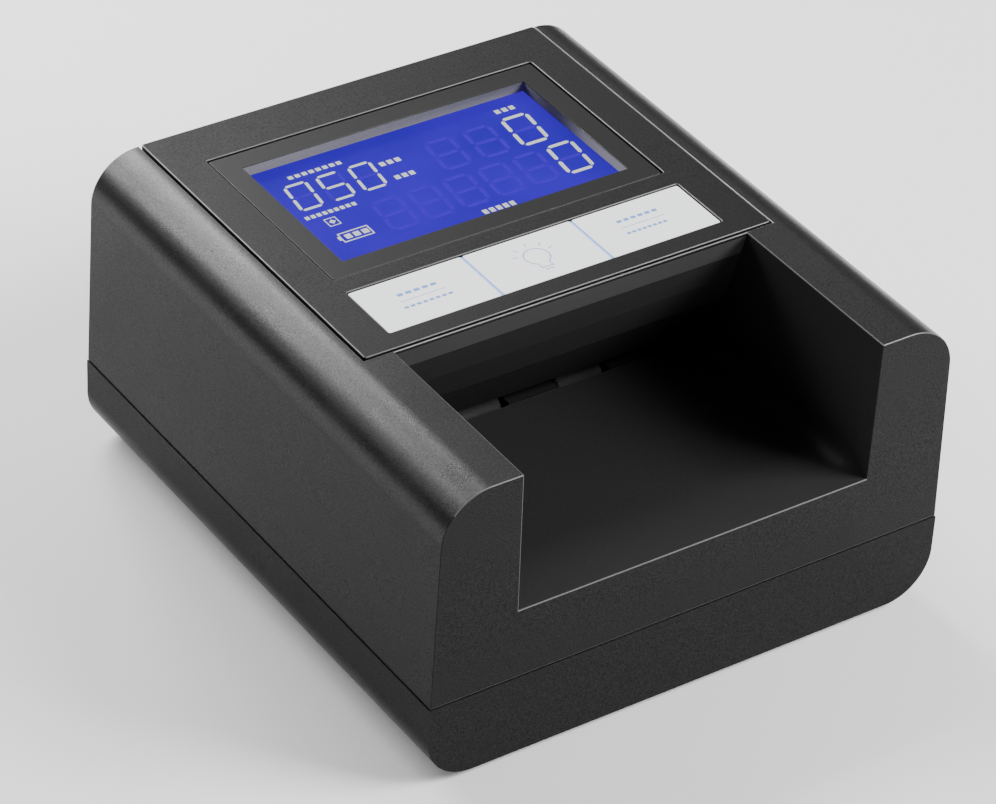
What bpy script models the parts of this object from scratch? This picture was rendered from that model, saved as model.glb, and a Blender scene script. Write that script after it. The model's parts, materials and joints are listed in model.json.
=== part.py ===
"""Counterfeit bill detector: a two-part casing with a note recess, a control panel and a note transport.

The front faces -Y and +Z is up. The origin is at the bottom centre, on the surface that the feet stand on.
Sizes below are in millimetres, and every mesh is made in metres.
"""

import math

import bmesh
import bpy
from mathutils import Euler, Matrix, Vector

MM = 0.001

# Casing
UPPER_HALF = 63.85
LOWER_HALF = 64.0
FRONT = -69.7
BACK = 69.7
LOWER_FRONT = -69.8
LOWER_BACK = 69.8
FOOT_PROUD = 1.5
SEAM = 21.0
TOP = 72.1
CORNER_RADIUS = 11.45
LOWER_RADIUS = 11.1
SIDE_DRAFT = 0.024
FACE_DRAFT = 0.007
DECK_SLOPE = 0.006
UPPER_WALL = 2.2
TOP_WALL = 3.4
LOWER_WALL = 2.9
BASE_WALL = 2.6
SEAM_GAP = 0.3
GAP = 0.3
ARC_STEPS = 7

# Note recess
RECESS_HALF_TOP = 44.06
RECESS_HALF_FLOOR = 43.6
RECESS_WALL = 46.1
NOTE_FLOOR = 38.35
FLOOR_SLAB = 2.05
FLOOR_BACK = -10.2
RECESS_BACK = -22.1
SLOT_TOP = 51.3
FILLET = 4.0

# Deck: local frame at the panel's front edge, Z normal to the sloping top
PANEL_FRONT = -21.4
PANEL_HALF = 50.65
PANEL_LENGTH = 90.5
PANEL_RAISE = 0.4
PANEL_BODY_HALF = 44.0
WINDOW_HALF = 36.1
WINDOW_FRONT = 31.9
WINDOW_BACK = 72.5
LENS_HALF = 41.76
LENS_FRONT = 26.5
LENS_BACK = 78.2
LENS_TOP = 0.1
LENS_THICK = 1.1
KEY_FRONT = 5.25
KEY_BACK = 21.3
KEY_OUTER = 41.46
KEY_SPLIT = 13.75
KEY_TOP = 0.1
KEY_THICK = 1.7
LCD_TOP = -2.7
SEAT_GAP = 0.25
FRAME_WALL = 1.3
BOARD_TOP = -9.4

# Transport
FEED_Y = -3.0
EJECT_Y = 42.0
SHAFT_Z = 32.15
ROLLER_RADIUS = 7.5
ROLLER_CENTRES = (-13.0, 13.0)
ROLLER_WIDTH = 12.0
SHAFT_RADIUS = 2.5
IDLER_RADIUS = 4.8
IDLER_SHAFT_RADIUS = 1.5
IDLER_Z = SHAFT_Z + ROLLER_RADIUS + 0.3 + IDLER_RADIUS
RUNNING_CLEARANCE = 0.1
PLATE_INNER = 46.3
PLATE_OUTER = 47.8
GUIDE_HALF = 43.4
GUIDE_BACK = 64.0
GUIDE_THICK = 1.3
PATH_GAP = 3.2
ROLLER_WINDOW = 6.2
IDLER_WINDOW = 5.0
GEAR_MODULE = 0.6
FEED_TEETH = 40
PINION_TEETH = 12
GEAR_X = (48.9, 52.9)
PINION_ANGLE = math.radians(-78)
BELT_X = (-52.6, -49.4)
PULLEY_RADIUS = 6.0
BELT_THICK = 1.2
MOTOR_RADIUS = 10.0
MOTOR_X = (20.0, 46.0)
HEAD_X = (-36.0, -24.0)
PANE_HALF = 38.0
PANE_FRONT = 20.0
PANE_BACK = 28.0
ROUND = 24

# Base
SCREW_PLACES = {
    "front_left": (-50.5, -60.0),
    "front_right": (50.5, -60.0),
    "rear_left": (-50.5, 61.9),
    "rear_right": (50.5, 61.9),
}
FOOT_X = 44.0
FOOT_Y = 48.0
FOOT_RADIUS = 5.5
COVER = (-36.7, 17.3, 6.7, 62.7)
COVER_SCREW = (-15.0, 14.4)
SWITCH_X = (14.0, 29.0)
SWITCH_Z = (5.4, 16.6)
ROCKER_PIVOT = (66.0, 11.0)
ROCKER_TILT = math.radians(-12)
INLET_X = (35.5, 44.5)
INLET_Z = (6.5, 15.5)


def clear_scene():
    for obj in list(bpy.data.objects):
        bpy.data.objects.remove(obj, do_unlink=True)


def material(name, colour, roughness, metallic=0.0):
    mat = bpy.data.materials.new(name)
    mat.use_nodes = True
    shader = mat.node_tree.nodes["Principled BSDF"]
    shader.inputs["Base Color"].default_value = (*colour, 1.0)
    shader.inputs["Roughness"].default_value = roughness
    shader.inputs["Metallic"].default_value = metallic
    return mat


def make_materials():
    return {
        "casing": material("casing", (0.035, 0.035, 0.037), 0.42),
        "panel": material("panel", (0.018, 0.018, 0.020), 0.5),
        "lens": material("lens", (0.02, 0.02, 0.03), 0.1),
        "frame": material("frame", (0.45, 0.46, 0.48), 0.6),
        "lcd": material("lcd", (0.01, 0.01, 0.8), 0.2),
        "key": material("key", (0.72, 0.74, 0.76), 0.35, 0.3),
        "light": material("light", (0.6, 0.75, 1.0), 0.4),
        "board": material("board", (0.02, 0.14, 0.06), 0.5),
        "guide": material("guide", (0.03, 0.03, 0.03), 0.35),
        "steel": material("steel", (0.6, 0.6, 0.6), 0.3, 1.0),
        "rubber": material("rubber", (0.03, 0.03, 0.03), 0.8),
        "acetal": material("acetal", (0.8, 0.8, 0.76), 0.45),
        "sensor": material("sensor", (0.05, 0.01, 0.02), 0.1),
        "battery": material("battery", (0.05, 0.15, 0.4), 0.4),
        "plastic": material("plastic", (0.02, 0.02, 0.02), 0.4),
    }


# ---- outlines, as lists of 2-D points ----


def arc(centre, radius, start, end, steps):
    """Points along an arc, from start to end degrees, both ends included."""
    angles = [math.radians(start + (end - start) * i / steps) for i in range(steps + 1)]
    return [(centre[0] + radius * math.cos(a), centre[1] + radius * math.sin(a)) for a in angles]


def rectangle(low_x, low_y, high_x, high_y):
    return [(low_x, low_y), (high_x, low_y), (high_x, high_y), (low_x, high_y)]


def rounded(low_x, low_y, high_x, high_y, radius, steps=3):
    right, left = high_x - radius, low_x + radius
    back, front = high_y - radius, low_y + radius
    return (
        arc((right, back), radius, 0, 90, steps)
        + arc((left, back), radius, 90, 180, steps)
        + arc((left, front), radius, 180, 270, steps)
        + arc((right, front), radius, 270, 360, steps)
    )


def circle(centre, radius, steps=ROUND):
    return arc(centre, radius, 0, 360 - 360 / steps, steps - 1)


def gear_outline(teeth, phase):
    """Trapezoid teeth with backlash; a tooth is centred on the angle phase."""
    pitch_radius = GEAR_MODULE * teeth / 2
    tooth = 2 * math.pi / teeth
    root, tip = pitch_radius - 0.8 * 1.25 * GEAR_MODULE, pitch_radius + 0.8 * GEAR_MODULE
    points = []
    for i in range(teeth):
        for share, radius in ((-0.33, root), (-0.12, tip), (0.12, tip), (0.33, root)):
            angle = phase + (i + share) * tooth
            points.append((radius * math.cos(angle), radius * math.sin(angle)))
    return points


def upper_arch(inset, top_inset, bottom):
    """Outline of the upper casing across X and Z, drawn in by inset at the sides."""
    radius = CORNER_RADIUS - inset
    centre_x = UPPER_HALF - CORNER_RADIUS - SIDE_DRAFT * (TOP - CORNER_RADIUS - SEAM)
    centre_z = TOP - top_inset - radius
    foot = UPPER_HALF - inset - SIDE_DRAFT * (bottom - SEAM)
    right = [(foot, bottom)] + arc((centre_x, centre_z), radius, -1.4, 90, ARC_STEPS)
    return right + [(-x, z) for x, z in reversed(right)]


def lower_trough(inset, bottom_inset, top):
    """Outline of the lower casing across X and Z."""
    radius = LOWER_RADIUS - inset
    centre_x = LOWER_HALF - LOWER_RADIUS
    centre_z = FOOT_PROUD + bottom_inset + radius
    right = arc((centre_x, centre_z), radius, -90, 0, ARC_STEPS) + [(LOWER_HALF - inset, top)]
    return right + [(-x, z) for x, z in reversed(right)]


# ---- objects ----


def object_from(name, bm, mat, location=(0, 0, 0), parent=None):
    """Links a bmesh in millimetres as an object in metres."""
    bmesh.ops.recalc_face_normals(bm, faces=bm.faces)
    bmesh.ops.scale(bm, vec=(MM, MM, MM), verts=bm.verts)
    mesh = bpy.data.meshes.new(name)
    bm.to_mesh(mesh)
    bm.free()
    if mat:
        mesh.materials.append(mat)
    obj = bpy.data.objects.new(name, mesh)
    bpy.context.scene.collection.objects.link(obj)
    obj.location = Vector(location) * MM
    obj.parent = parent
    return obj


def smooth(obj):
    obj.data.shade_smooth()
    obj.data.set_sharp_from_angle(angle=math.radians(35))
    return obj


def stack(rings):
    """Joins rings of equal length into one closed body, with a flat cap at each end."""
    bm = bmesh.new()
    layers = [[bm.verts.new(point) for point in ring] for ring in rings]
    for lower, upper in zip(layers, layers[1:]):
        for i in range(len(lower)):
            j = (i + 1) % len(lower)
            bm.faces.new((lower[i], lower[j], upper[j], upper[i]))
    bm.faces.new(layers[0])
    bm.faces.new(layers[-1])
    return bm


def prism(outline, axis, low, high):
    """Extrudes a 2-D outline along an axis: its points are (y, z), (x, z) or (x, y)."""
    place = {
        "X": lambda point, along: (along, *point),
        "Y": lambda point, along: (point[0], along, point[1]),
        "Z": lambda point, along: (*point, along),
    }[axis]
    return stack([[place(point, along) for point in outline] for along in (low, high)])


def box(low, high):
    return prism(rectangle(low[0], low[1], high[0], high[1]), "Z", low[2], high[2])


def turned(profile, steps=ROUND):
    """Turns (x, radius) points about the X axis, with flat ends."""
    rings = []
    for x, radius in profile:
        rings.append([(x, y, z) for y, z in circle((0, 0), radius, steps)])
    return stack(rings)


def casing_block(outline, front, back, draft):
    """Extrudes an outline along Y, with drafted ends and a top that rises to the rear."""
    rings = []
    for end, lean in ((front, draft), (back, -draft)):
        rise = DECK_SLOPE * (end - FRONT) / (TOP - SEAM)
        rings.append([(x, end + lean * (z - SEAM), z + rise * max(0.0, z - SEAM)) for x, z in outline])
    return stack(rings)


def cutter(name, bm, location=(0, 0, 0), parent=None):
    obj = object_from(name, bm, None, location, parent)
    obj.hide_render = True
    obj.display_type = "WIRE"
    return obj


def combine(obj, operation, bm, label, parent=None):
    """Adds an exact Boolean of a helper shape, made in the object's own frame."""
    helper = cutter(f"{obj.name}_{label}_cutter", bm, (0, 0, 0), parent)
    if parent is None:
        helper.location = obj.location
    modifier = obj.modifiers.new(label, "BOOLEAN")
    modifier.operation = operation
    modifier.solver = "EXACT"
    modifier.object = helper
    return obj


def cut(obj, bm, label, parent=None):
    return combine(obj, "DIFFERENCE", bm, label, parent)


def add(obj, bm, label, parent=None):
    return combine(obj, "UNION", bm, label, parent)


def disc(centre, radius, low, high, steps=ROUND):
    return prism(circle(centre, radius, steps), "Z", low, high)


# ---- casing ----


def note_recess():
    """The open space of the recess: drafted side walls, and a brow that overhangs the slot."""
    outline = [
        (FRONT - 10, NOTE_FLOOR),
        (FLOOR_BACK + 5, NOTE_FLOOR),
        (FLOOR_BACK + 5, SLOT_TOP),
        (-15.4, SLOT_TOP),
        (-18.8, 59.5),
        (-19.8, 63.1),
        (-20.6, 66.4),
        (RECESS_BACK, 71.6),
        (RECESS_BACK, TOP + 10),
        (FRONT - 10, TOP + 10),
    ]
    bm = prism(outline, "X", -1.0, 1.0)
    lean = (RECESS_HALF_TOP - RECESS_HALF_FLOOR) / (TOP - NOTE_FLOOR)
    for vert in bm.verts:
        vert.co.x *= RECESS_HALF_FLOOR + lean * (vert.co.z - NOTE_FLOOR)
    return bm


def recess_liner():
    """The block of walls round the recess, before the space is cut out of it."""
    outline = [
        (FRONT + 0.9, NOTE_FLOOR - FLOOR_SLAB),
        (FLOOR_BACK, NOTE_FLOOR - FLOOR_SLAB),
        (FLOOR_BACK, NOTE_FLOOR + 1.2),
        (-12.6, SLOT_TOP),
        (-16.6, 59.5),
        (-17.6, 63.1),
        (-18.4, 66.4),
        (-18.4, TOP - 1.6),
        (FRONT + 0.9, TOP - 1.6),
    ]
    return prism(outline, "X", -RECESS_WALL, RECESS_WALL)


def floor_fillet(side):
    """The hollow rounding between the recess wall and its floor, which runs out at the front edge."""
    rings = []
    for y, radius in ((FRONT + 0.4, 0.5), (FRONT + 7, FILLET), (-12.6, FILLET)):
        wall, floor = RECESS_HALF_FLOOR + 0.2, NOTE_FLOOR - 0.2
        hollow = arc((RECESS_HALF_FLOOR - radius, NOTE_FLOOR + radius), radius, -90, 0, 4)
        rings.append([(side * x, y, z) for x, z in [(wall, floor), *hollow]])
    return stack(rings)


def make_upper_shell(mats, deck):
    outside = casing_block(upper_arch(0, 0, SEAM + SEAM_GAP), FRONT, BACK, FACE_DRAFT)
    shell = object_from("upper_shell", outside, mats["casing"])
    inside = casing_block(upper_arch(UPPER_WALL, TOP_WALL, SEAM - 5), FRONT + UPPER_WALL, BACK - UPPER_WALL,
                          FACE_DRAFT)
    cut(shell, inside, "hollow")
    add(shell, recess_liner(), "liner")
    for place, centre in SCREW_PLACES.items():
        add(shell, disc(centre, 3.6, SEAM + SEAM_GAP, TOP - 2.5, 12), f"boss_{place}")
    cut(shell, note_recess(), "recess")
    for side, label in ((-1, "left"), (1, "right")):
        add(shell, floor_fillet(side), f"fillet_{label}")
    for place, centre in SCREW_PLACES.items():
        cut(shell, disc(centre, 1.7, SEAM - 5, 36, 12), f"bore_{place}")
    pocket = box((-PANEL_HALF - GAP, -GAP, -2.0), (PANEL_HALF + GAP, PANEL_LENGTH + GAP, 8))
    cut(shell, pocket, "pocket", deck)
    opening = box((-PANEL_BODY_HALF - GAP, 2.6, -8), (PANEL_BODY_HALF + GAP, 81.4, 8))
    cut(shell, opening, "opening", deck)
    cut(shell, box((-RECESS_HALF_FLOOR, BACK - 6, 38.6), (RECESS_HALF_FLOOR, BACK + 6, 44.6)), "exit")
    return smooth(shell)


def make_lower_shell(mats):
    shell = object_from("lower_shell", casing_block(lower_trough(0, 0, SEAM), LOWER_FRONT, LOWER_BACK, 0),
                        mats["casing"])
    floor = FOOT_PROUD + BASE_WALL
    inside = casing_block(lower_trough(LOWER_WALL, BASE_WALL, SEAM + 5), LOWER_FRONT + LOWER_WALL,
                          LOWER_BACK - LOWER_WALL, 0)
    cut(shell, inside, "hollow")
    tongue_x = UPPER_HALF - UPPER_WALL - 0.35
    tongue_y = BACK - UPPER_WALL - 0.35
    ring = box((-tongue_x, -tongue_y, SEAM - 4), (tongue_x, tongue_y, SEAM + 1.6))
    add(shell, ring, "tongue_block")
    cut(shell, box((1.3 - tongue_x, 1.3 - tongue_y, SEAM - 6), (tongue_x - 1.3, tongue_y - 1.3, SEAM + 6)),
        "tongue_hollow")
    for place, centre in SCREW_PLACES.items():
        add(shell, disc(centre, 4.6, floor - 1, SEAM - 0.4, 12), f"boss_{place}")
    for index, (x, y) in enumerate(((-47.05, -7), (-47.05, 46), (47.05, 46))):
        add(shell, box((x - 1.6, y - 3, floor - 1), (x + 1.6, y + 3, 23.0)), f"post_{index}")
    for index, (x, y) in enumerate(((-42, -60), (36, -60), (-42, -22), (36, -22))):
        add(shell, disc((x, y), 2.2, floor - 1, 7.7, 12), f"standoff_{index}")
    add(shell, disc(COVER_SCREW, 3.2, floor - 1, 9.5, 12), "cover_boss")
    for place, centre in SCREW_PLACES.items():
        cut(shell, disc(centre, 3.3, FOOT_PROUD - 1, 9.0, 16), f"well_{place}")
        cut(shell, disc(centre, 1.7, 8.0, SEAM + 5, 12), f"bore_{place}")
    for side in (-1, 1):
        for end in (-1, 1):
            centre = (side * FOOT_X, end * FOOT_Y)
            cut(shell, disc(centre, FOOT_RADIUS + GAP, 0, 2.1), f"foot_seat_{side}_{end}")
    x0, y0, x1, y1 = COVER
    rebate = box((x0 - GAP, y0 - GAP, 0), (x1 + GAP, y1 + GAP, 3.0))
    cut(shell, rebate, "cover_rebate")
    cut(shell, box((x0 + 1.7, y0 + 1.7, 0), (x1 - 1.7, y1 - 1.7, 8)), "battery_opening")
    tab_x, tab_y = COVER_SCREW
    cut(shell, box((tab_x - 4.3, tab_y - 3.3, 0), (tab_x + 4.3, y0 + 1, 3.0)), "tab_rebate")
    cut(shell, disc(COVER_SCREW, 1.3, 2, 8.8, 12), "tab_bore")
    rear = LOWER_BACK + 5
    (low_x, high_x), (low_z, high_z) = SWITCH_X, SWITCH_Z
    cut(shell, box((low_x + 1.3, 60, low_z + 1.0), (high_x - 1.3, rear, high_z - 1.0)), "switch_opening")
    flange_seat = box((low_x - GAP, 68.2, low_z - GAP), (high_x + GAP, rear, high_z + GAP))
    cut(shell, flange_seat, "switch_flange_seat")
    (low_x, high_x), (low_z, high_z) = INLET_X, INLET_Z
    cut(shell, box((low_x - GAP, 60, low_z - GAP), (high_x + GAP, rear, high_z + GAP)), "inlet_opening")
    return smooth(shell)


# ---- deck ----


def make_deck():
    """An empty at the panel's front edge, tilted as the top is."""
    deck = bpy.data.objects.new("deck", None)
    bpy.context.scene.collection.objects.link(deck)
    height = TOP + DECK_SLOPE * (PANEL_FRONT - FRONT)
    deck.location = Vector((0, PANEL_FRONT, height)) * MM
    deck.rotation_euler = Euler((math.atan(DECK_SLOPE), 0, 0))
    bpy.context.view_layer.update()
    return deck


def make_panel(mats, deck):
    outline = rounded(-PANEL_HALF, 0, PANEL_HALF, PANEL_LENGTH, 0.6)
    panel = object_from("control_panel", prism(outline, "Z", -1.7, PANEL_RAISE), mats["panel"], parent=deck)
    add(panel, box((-PANEL_BODY_HALF, 3.0, -3.1), (PANEL_BODY_HALF, 81.0, -1.0)), "body", deck)
    seat = rounded(-LENS_HALF, LENS_FRONT, LENS_HALF, LENS_BACK, 0.6)
    cut(panel, prism(seat, "Z", -1.3, 3), "lens_seat", deck)
    window = box((-WINDOW_HALF - 1.6, WINDOW_FRONT - 1.6, -9), (WINDOW_HALF + 1.6, WINDOW_BACK + 1.6, 0))
    cut(panel, window, "window", deck)
    cut(panel, box((-40.4, WINDOW_FRONT - 3.4, -9), (40.4, WINDOW_BACK + 3.4, -1.95)), "display_seat", deck)
    half = KEY_OUTER + SEAT_GAP
    cut(panel, box((-half, KEY_FRONT - SEAT_GAP, -9), (half, KEY_BACK + SEAT_GAP, 3)), "keys", deck)
    return panel


def make_display(mats, deck):
    half = LENS_HALF - SEAT_GAP
    outline = rounded(-half, LENS_FRONT + SEAT_GAP, half, LENS_BACK - SEAT_GAP, 0.5)
    lens = prism(outline, "Z", LENS_TOP - LENS_THICK, LENS_TOP)
    object_from("display_lens", lens, mats["lens"], parent=deck)
    half = WINDOW_HALF + FRAME_WALL
    rim = box((-half, WINDOW_FRONT - FRAME_WALL, LCD_TOP + 0.15), (half, WINDOW_BACK + FRAME_WALL, -1.2))
    frame = object_from("display_frame", rim, mats["frame"], parent=deck)
    cut(frame, box((-WINDOW_HALF, WINDOW_FRONT, -9), (WINDOW_HALF, WINDOW_BACK, 3)), "window", deck)
    for name, low, high, half, mat in (
        ("lcd_panel", -5.3, LCD_TOP, 40.0, "lcd"),
        ("backlight", -8.6, -5.6, 39.0, "light"),
    ):
        back = WINDOW_BACK + 3.0
        object_from(name, prism(rounded(-half, WINDOW_FRONT - 3.0, half, back, 0.5, 2), "Z", low, high),
                    mats[mat], parent=deck)


def key_spans():
    return {
        "left": (-KEY_OUTER, -KEY_SPLIT - 0.3),
        "middle": (-KEY_SPLIT + 0.3, KEY_SPLIT - 0.3),
        "right": (KEY_SPLIT + 0.3, KEY_OUTER),
    }


def make_keys(mats, deck):
    """Three caps with a stem each; the stem enters a switch on the display board."""
    middle_y = (KEY_FRONT + KEY_BACK) / 2
    board = object_from("display_board", box((-43, 7, BOARD_TOP - 1.6), (43, 80, BOARD_TOP)), mats["board"],
                        parent=deck)
    plate = box((-42, 4.6, -4.2), (42, 22.5, -3.5))
    guide = object_from("key_light_guide", plate, mats["light"], parent=deck)
    for side, x in (("left", -KEY_SPLIT), ("right", KEY_SPLIT)):
        add(guide, box((x - 0.15, KEY_FRONT + 0.1, -3.9), (x + 0.15, KEY_BACK - 0.1, KEY_TOP - 0.15)),
            f"rib_{side}", deck)
    for place, (low, high) in key_spans().items():
        centre = (low + high) / 2
        local = Vector((centre, middle_y, 0))
        outline = rounded(low - centre, KEY_FRONT - middle_y, high - centre, KEY_BACK - middle_y, 0.4)
        key = object_from(f"key_{place}", prism(outline, "Z", KEY_TOP - KEY_THICK, KEY_TOP), mats["key"],
                          local, deck)
        stem = cutter(f"key_{place}_stem_cutter", disc((0, 0), 1.5, -7.6, -1.0, 12), local, deck)
        modifier = key.modifiers.new("stem", "BOOLEAN")
        modifier.operation = "UNION"
        modifier.object = stem
        cut(guide, disc((centre, middle_y), 2.1, -6, 0, 12), f"hole_{place}", deck)
        switch = box((centre - 3.1, middle_y - 3.1, BOARD_TOP - 0.5), (centre + 3.1, middle_y + 3.1, -6.4))
        add(board, switch, f"switch_{place}", deck)
        cut(board, disc((centre, middle_y), 1.8, -8.6, 0, 12), f"switch_well_{place}", deck)


# ---- note path ----


def roller_windows(y, half_length):
    """The places of the openings that rollers or pinch rollers reach through."""
    for x in ROLLER_CENTRES:
        half_width = ROLLER_WIDTH / 2 + 0.8
        yield (x - half_width, y - half_length), (x + half_width, y + half_length)


def make_guides(mats):
    low = NOTE_FLOOR - GUIDE_THICK
    plate = box((-GUIDE_HALF, FLOOR_BACK + 0.4, low), (GUIDE_HALF, GUIDE_BACK, NOTE_FLOOR))
    lower = object_from("lower_note_guide", plate, mats["guide"])
    high = NOTE_FLOOR + PATH_GAP
    outline = [
        (-15.0, SLOT_TOP - 0.4),
        (-10.6, high),
        (GUIDE_BACK, high),
        (GUIDE_BACK, high + GUIDE_THICK),
        (-9.9, high + GUIDE_THICK),
        (-13.6, SLOT_TOP - 0.4),
    ]
    half = GUIDE_HALF - 0.2
    upper = object_from("upper_note_guide", prism(outline, "X", -half, half), mats["guide"])
    for end, y in (("feed", FEED_Y), ("eject", EJECT_Y)):
        for index, (corner, opposite) in enumerate(roller_windows(y, ROLLER_WINDOW)):
            front = FLOOR_BACK - 2 if end == "feed" else corner[1]
            window = box((corner[0], front, low - 3), (*opposite, NOTE_FLOOR + 3))
            cut(lower, window, f"{end}_window_{index}")
        for index, (corner, opposite) in enumerate(roller_windows(y, IDLER_WINDOW)):
            cut(upper, box((*corner, high - 3), (*opposite, high + 6)), f"{end}_window_{index}")
    make_sensors(lower, upper, mats)


def make_sensors(lower, upper, mats):
    """The optical sensors above and below the note, and the magnetic head that touches its print."""
    low, high = NOTE_FLOOR - GUIDE_THICK, NOTE_FLOOR + PATH_GAP
    left, right = HEAD_X
    for guide, base in ((lower, low), (upper, high)):
        half = PANE_HALF + GAP
        opening = box((-half, PANE_FRONT - GAP, base - 3), (half, PANE_BACK + GAP, base + 5))
        cut(guide, opening, "sensor_window")
    cut(upper, box((left - GAP, 9.7, high - 3), (right + GAP, 17.3, high + 5)), "head_window")
    for level, base in (("lower", low + 0.1), ("upper", high + 0.1)):
        pane = prism(rounded(-PANE_HALF, PANE_FRONT, PANE_HALF, PANE_BACK, 0.5, 2), "Z", base, base + 1.1)
        object_from(f"{level}_sensor_window", pane, mats["sensor"])
    for level, base in (("lower", low - 3.4), ("upper", high + 4.0)):
        object_from(f"{level}_sensor_board", box((-42, 12.5, base), (42, 31, base + 1.6)), mats["board"])
    nose = box((left, 10, NOTE_FLOOR + 1.6), (right, 12.2, high + 3.6))
    head = object_from("magnetic_head", nose, mats["steel"])
    add(head, box((left, 11.5, high + 1.0), (right, 17, high + 3.6)), "coil")


def plate_outline(right):
    """A bearing plate's outline in Y and Z; the right one has a foot that carries the motor."""
    base = FOOT_PROUD + BASE_WALL + GAP
    foot = [(14, 23.3), (14, base), (-9.5, base)] if right else [(-9.5, 23.3)]
    return [(57, 55), (57, 23.3), *foot, (-9.5, 55)]


def make_bearing_plates(mats):
    for side, label in ((-1, "left"), (1, "right")):
        low, high = sorted((side * PLATE_INNER, side * PLATE_OUTER))
        plate = object_from(f"bearing_plate_{label}", prism(plate_outline(side > 0), "X", low, high),
                            mats["plastic"])
        for end, y in (("feed", FEED_Y), ("eject", EJECT_Y)):
            shafts = (("shaft", SHAFT_Z, SHAFT_RADIUS), ("idler", IDLER_Z, IDLER_SHAFT_RADIUS))
            for kind, z, radius in shafts:
                hole = circle((y, z), radius + RUNNING_CLEARANCE)
                cut(plate, prism(hole, "X", low - 2, high + 2), f"{end}_{kind}_hole")
        if side > 0:
            cut(plate, prism(circle(motor_centre(), 3.2), "X", low - 2, high + 2), "motor_hole")


# ---- drive ----


def motor_centre():
    distance = GEAR_MODULE * (FEED_TEETH + PINION_TEETH) / 2 + 0.12
    return (FEED_Y + distance * math.cos(PINION_ANGLE), SHAFT_Z + distance * math.sin(PINION_ANGLE))


def make_ring(name, profile, bore, mat, location):
    """A turned piece with a bore for its shaft."""
    ring = object_from(name, turned(profile), mat, location)
    low, high = profile[0][0], profile[-1][0]
    cut(ring, turned([(low - 1, bore), (high + 1, bore)]), "bore")
    return smooth(ring)


def make_roller_set(mats, end, y):
    """A driven shaft with two rubber rollers, and its toothed belt pulley."""
    right_end = GEAR_X[1] + 1.2
    shaft = turned([(-54.0, SHAFT_RADIUS), (right_end, SHAFT_RADIUS)])
    smooth(object_from(f"{end}_shaft", shaft, mats["steel"], (0, y, SHAFT_Z)))
    bore = SHAFT_RADIUS + RUNNING_CLEARANCE
    for side, x in zip(("left", "right"), ROLLER_CENTRES):
        half = ROLLER_WIDTH / 2
        profile = [(-half, ROLLER_RADIUS - 0.5), (-half + 0.5, ROLLER_RADIUS), (half - 0.5, ROLLER_RADIUS),
                   (half, ROLLER_RADIUS - 0.5)]
        make_ring(f"{end}_roller_{side}", profile, bore, mats["rubber"], (x, y, SHAFT_Z))
    flange = PULLEY_RADIUS + 2
    left, right = BELT_X[0] - GAP, BELT_X[1] + GAP
    profile = [(left - 0.9, flange), (left, flange), (left, PULLEY_RADIUS), (right, PULLEY_RADIUS),
               (right, flange), (right + 0.7, flange)]
    make_ring(f"{end}_pulley", profile, bore, mats["acetal"], (0, y, SHAFT_Z))


def make_idler_set(mats, end, y):
    """A free shaft with two pinch rollers, and the leaf spring that presses on it."""
    reach = PLATE_OUTER - 0.2
    shaft = turned([(-reach, IDLER_SHAFT_RADIUS), (reach, IDLER_SHAFT_RADIUS)])
    smooth(object_from(f"{end}_idler_shaft", shaft, mats["steel"], (0, y, IDLER_Z)))
    half = ROLLER_WIDTH / 2 - 0.5
    for side, x in zip(("left", "right"), ROLLER_CENTRES):
        make_ring(f"{end}_idler_{side}", [(-half, IDLER_RADIUS), (half, IDLER_RADIUS)],
                  IDLER_SHAFT_RADIUS + RUNNING_CLEARANCE, mats["acetal"], (x, y, IDLER_Z))
    seat = IDLER_Z + IDLER_SHAFT_RADIUS + GAP
    base = NOTE_FLOOR + PATH_GAP + GUIDE_THICK + GAP
    outline = [(-2, seat), (2, seat), (9, base + 0.4), (14, base + 0.4), (14, base), (18, base),
               (18, base + 0.9), (9.2, base + 0.9), (2, seat + 0.5), (-2, seat + 0.5), (-4, seat + 1.2),
               (-4.3, seat + 0.9)]
    leaf = prism([(y + dy, z) for dy, z in outline], "X", -3.5, 3.5)
    object_from(f"{end}_idler_spring", leaf, mats["steel"])


def make_gears(mats):
    bore = SHAFT_RADIUS + RUNNING_CLEARANCE
    blank = prism(gear_outline(FEED_TEETH, PINION_ANGLE), "X", *GEAR_X)
    gear = object_from("feed_gear", blank, mats["acetal"], (0, FEED_Y, SHAFT_Z))
    cut(gear, turned([(GEAR_X[0] - 1, bore), (GEAR_X[1] + 1, bore)]), "bore")
    phase = PINION_ANGLE + math.pi + math.pi / PINION_TEETH
    place = (0, *motor_centre())
    blank = prism(gear_outline(PINION_TEETH, phase), "X", *GEAR_X)
    pinion = object_from("motor_pinion", blank, mats["steel"], place)
    add(pinion, turned([(MOTOR_X[1] - 8, 1.0), (GEAR_X[1] + 0.6, 1.0)], 12), "shaft")
    profile = [(MOTOR_X[0], MOTOR_RADIUS - 1), (MOTOR_X[0] + 1, MOTOR_RADIUS),
               (MOTOR_X[1] - 0.5, MOTOR_RADIUS), (MOTOR_X[1], MOTOR_RADIUS - 0.5)]
    motor = object_from("motor", turned(profile), mats["steel"], place)
    add(motor, turned([(MOTOR_X[1] - 1, 2.9), (MOTOR_X[1] + 1.2, 2.9)]), "nose")
    add(motor, turned([(MOTOR_X[0] - 1.5, 3.0), (MOTOR_X[0] + 1, 3.0)]), "rear_cap")
    cut(motor, turned([(MOTOR_X[1] - 9, 1.2), (MOTOR_X[1] + 3, 1.2)], 12), "bore")
    smooth(motor)


def belt_loop(radius):
    """Outline of a belt round the two pulleys, in Y and Z."""
    return arc((EJECT_Y, SHAFT_Z), radius, -90, 90, 12) + arc((FEED_Y, SHAFT_Z), radius, 90, 270, 12)


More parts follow.
